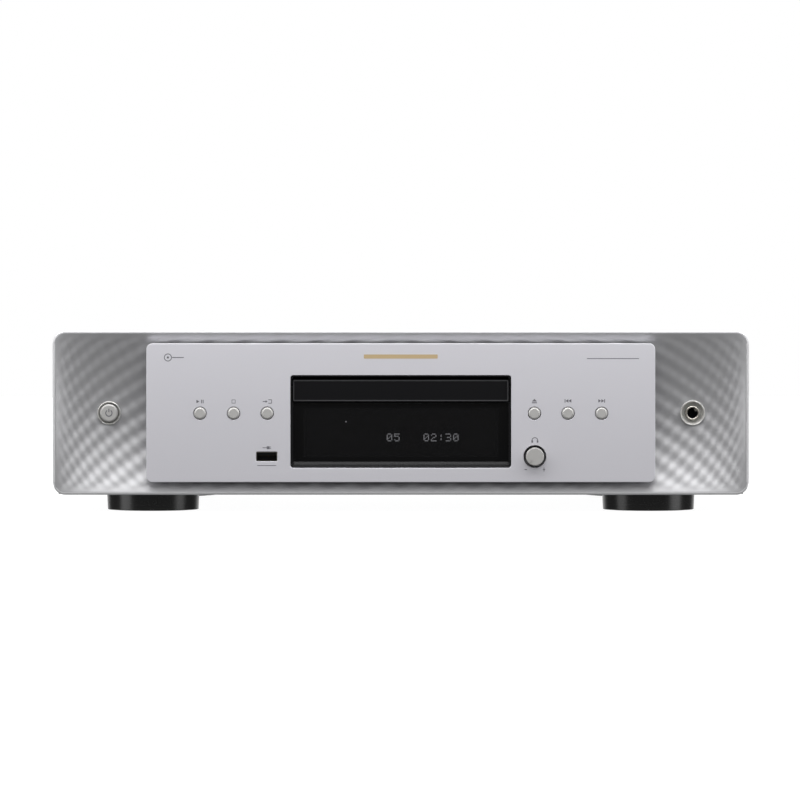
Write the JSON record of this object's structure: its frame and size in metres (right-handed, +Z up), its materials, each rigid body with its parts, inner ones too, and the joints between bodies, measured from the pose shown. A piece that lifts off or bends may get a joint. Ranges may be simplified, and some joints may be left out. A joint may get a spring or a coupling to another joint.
{
  "type": "cd player",
  "caption": "Full-width CD player with a floating front plate, sliding disc tray, display window, push buttons, level knob, front sockets and round feet.",
  "frame": {"origin": "on the floor under the middle of the player, centred left to right and front to back", "axes": "+X to the player's right as seen from the front, +Y to its back, +Z up"},
  "size_m": [0.442, 0.412, 0.1152],
  "materials": {
    "silver_lacquer": "silver lacquer over a dimpled moulding, satin",
    "blasted_aluminium": "fine bead-blasted and anodised",
    "gloss_black": "gloss moulded",
    "smoked_window": "smoked, polished",
    "door_plastic": "dark satin moulded",
    "cover_paint": "fine silver powder coat",
    "chassis_steel": "zinc plated, dull",
    "frame_steel": "zinc plated",
    "satin_silver": "turned and anodised",
    "dark_plastic": "moulded, fine grain",
    "foot_plastic": "satin moulded with a faint ring",
    "pad_rubber": "matt",
    "socket_metal": "nickel plated",
    "black_insulator": "moulded",
    "display_glass": "glass front",
    "board_green": "solder mask",
    "capacitor_sleeve": "shrink sleeve",
    "black_anodised": "black anodised",
    "core_steel": "stacked laminations, varnished",
    "winding_copper": "enamelled wire",
    "loader_plastic": "glass-filled, moulded",
    "gear_plastic": "natural acetal",
    "belt_rubber": "matt",
    "motor_steel": "plated can",
    "lens_glass": "coated",
    "brass_metal": "turned",
    "screw_steel": "black zinc"
  },
  "bodies": {
    "casing": {"front_bezel": "silver_lacquer", "front_plate": "blasted_aluminium", "window_surround": "gloss_black", "display_window": "smoked_window", "top_cover": "cover_paint", "bottom_chassis": "chassis_steel", "rear_panel": "cover_paint", "front_frame": "frame_steel", "feet": "foot_plastic", "foot_pads": "pad_rubber", "power_button_ring": "satin_silver", "level_potentiometer": "dark_plastic", "headphone_jack": "socket_metal", "headphone_ring": "satin_silver", "usb_socket": "socket_metal", "usb_tongue": "black_insulator", "display_module": "display_glass", "display_board": "board_green", "button_boards": "board_green", "headphone_board": "board_green", "main_board": "board_green", "power_board": "board_green", "power_capacitors": "capacitor_sleeve", "heat_sink": "black_anodised", "transformer_core": "core_steel", "transformer_winding": "winding_copper", "loader_frame": "loader_plastic", "loading_motor": "motor_steel", "drive_belt": "belt_rubber", "clamp_bridge": "frame_steel", "phono_jacks": "socket_metal", "optical_socket": "black_insulator", "mains_inlet": "black_insulator", "mains_pins": "brass_metal", "case_screws": "screw_steel"},
    "tray": {"disc_tray": "loader_plastic", "tray_door": "door_plastic"},
    "drive_gear_body": {"drive_gear": "gear_plastic"},
    "pulley_gear_body": {"pulley_gear": "gear_plastic"},
    "motor_pulley_body": {"motor_pulley": "gear_plastic"},
    "cam_slider_body": {"cam_slider": "gear_plastic"},
    "traverse": {"traverse_frame": "frame_steel", "spindle_motor": "motor_steel", "guide_rods": "motor_steel", "sled_motor": "motor_steel"},
    "turntable_body": {"turntable": "dark_plastic"},
    "pickup": {"pickup_body": "dark_plastic"},
    "lens": {"pickup_lens": "lens_glass"},
    "sled_gear_body": {"sled_gear": "gear_plastic"},
    "sled_pinion_body": {"sled_pinion": "brass_metal"},
    "clamper_body": {"clamper": "dark_plastic"},
    "power_button_cap": {"power_button": "satin_silver"},
    "play_button_cap": {"play_button": "satin_silver"},
    "stop_button_cap": {"stop_button": "satin_silver"},
    "input_button_cap": {"input_button": "satin_silver"},
    "open_close_button_cap": {"open_close_button": "satin_silver"},
    "previous_button_cap": {"previous_button": "satin_silver"},
    "next_button_cap": {"next_button": "satin_silver"},
    "level_knob_body": {"level_knob": "satin_silver"},
    "optical_flap_body": {"optical_flap": "dark_plastic"}
  },
  "joints": [
    {"name": "tray_slide", "type": "slide", "parent": "casing", "child": "tray", "axis": [0, -1, 0], "range_m": [0, 0.14]},
    {"name": "drive_gear_spin", "type": "hinge", "parent": "casing", "child": "drive_gear_body", "pos_m": [0.047, -0.163, 0.065], "axis": [0, 0, 1], "range_deg": [-820, 10]},
    {"name": "pulley_gear_spin", "type": "hinge", "parent": "casing", "child": "pulley_gear_body", "pos_m": [0.02382, -0.16921, 0.06], "axis": [0, 0, 1], "range_deg": [-10, 2260]},
    {"name": "motor_pulley_spin", "type": "hinge", "parent": "casing", "child": "motor_pulley_body", "pos_m": [-0.03, -0.16921, 0.058], "axis": [0, 0, 1], "range_deg": [-10, 9000]},
    {"name": "traverse_drop", "type": "hinge", "parent": "casing", "child": "traverse", "pos_m": [0, -0.055, 0.062], "axis": [1, 0, 0], "range_deg": [0, 4.9]},
    {"name": "cam_slide", "type": "slide", "parent": "casing", "child": "cam_slider_body", "axis": [-1, 0, 0], "range_m": [-0.0005, 0.0205]},
    {"name": "turntable_spin", "type": "hinge", "parent": "traverse", "child": "turntable_body", "pos_m": [0, -0.125, 0.07], "axis": [0, 0, 1], "continuous": true},
    {"name": "pickup_slide", "type": "slide", "parent": "traverse", "child": "pickup", "axis": [0, 1, 0], "range_m": [0, 0.035]},
    {"name": "lens_focus", "type": "slide", "parent": "pickup", "child": "lens", "axis": [0, 0, 1], "range_m": [-0.0004, 0.0004], "stiffness_N_per_m": 30},
    {"name": "sled_gear_spin", "type": "hinge", "parent": "traverse", "child": "sled_gear_body", "pos_m": [-0.0335, -0.088, 0.066], "axis": [0, 0, 1], "range_deg": [-5, 600]},
    {"name": "sled_pinion_spin", "type": "hinge", "parent": "traverse", "child": "sled_pinion_body", "pos_m": [-0.0425, -0.088, 0.064], "axis": [0, 0, 1], "range_deg": [-1200, 5]},
    {"name": "clamper_spin", "type": "hinge", "parent": "casing", "child": "clamper_body", "pos_m": [0, -0.125, 0.084], "axis": [0, 0, 1], "continuous": true},
    {"name": "power_button_press", "type": "slide", "parent": "casing", "child": "power_button_cap", "axis": [0, 1, 0], "range_m": [0, 0.0008], "stiffness_N_per_m": 900},
    {"name": "play_button_press", "type": "slide", "parent": "casing", "child": "play_button_cap", "axis": [0, 1, 0], "range_m": [0, 0.0008], "stiffness_N_per_m": 900},
    {"name": "stop_button_press", "type": "slide", "parent": "casing", "child": "stop_button_cap", "axis": [0, 1, 0], "range_m": [0, 0.0008], "stiffness_N_per_m": 900},
    {"name": "input_button_press", "type": "slide", "parent": "casing", "child": "input_button_cap", "axis": [0, 1, 0], "range_m": [0, 0.0008], "stiffness_N_per_m": 900},
    {"name": "open_close_button_press", "type": "slide", "parent": "casing", "child": "open_close_button_cap", "axis": [0, 1, 0], "range_m": [0, 0.0008], "stiffness_N_per_m": 900},
    {"name": "previous_button_press", "type": "slide", "parent": "casing", "child": "previous_button_cap", "axis": [0, 1, 0], "range_m": [0, 0.0008], "stiffness_N_per_m": 900},
    {"name": "next_button_press", "type": "slide", "parent": "casing", "child": "next_button_cap", "axis": [0, 1, 0], "range_m": [0, 0.0008], "stiffness_N_per_m": 900},
    {"name": "level_knob_turn", "type": "hinge", "parent": "casing", "child": "level_knob_body", "pos_m": [0.085, -0.195, 0.0354], "axis": [0, 1, 0], "range_deg": [0, 290]},
    {"name": "optical_flap_turn", "type": "hinge", "parent": "casing", "child": "optical_flap_body", "pos_m": [0.06, 0.1915, 0.0433], "axis": [-1, 0, 0], "range_deg": [0, 80], "stiffness_Nm_per_rad": 0.0003}
  ],
  "couplings": [
    {"joint": "drive_gear_spin", "follows": "tray_slide", "rad_per_m": -100},
    {"joint": "pulley_gear_spin", "follows": "tray_slide", "rad_per_m": 275},
    {"joint": "motor_pulley_spin", "follows": "tray_slide", "rad_per_m": 916.67},
    {"joint": "cam_slide", "follows": "traverse_drop", "m_per_rad": 0.23386},
    {"joint": "sled_gear_spin", "follows": "pickup_slide", "rad_per_m": 285.71},
    {"joint": "sled_pinion_spin", "follows": "pickup_slide", "rad_per_m": -571.43}
  ]
}
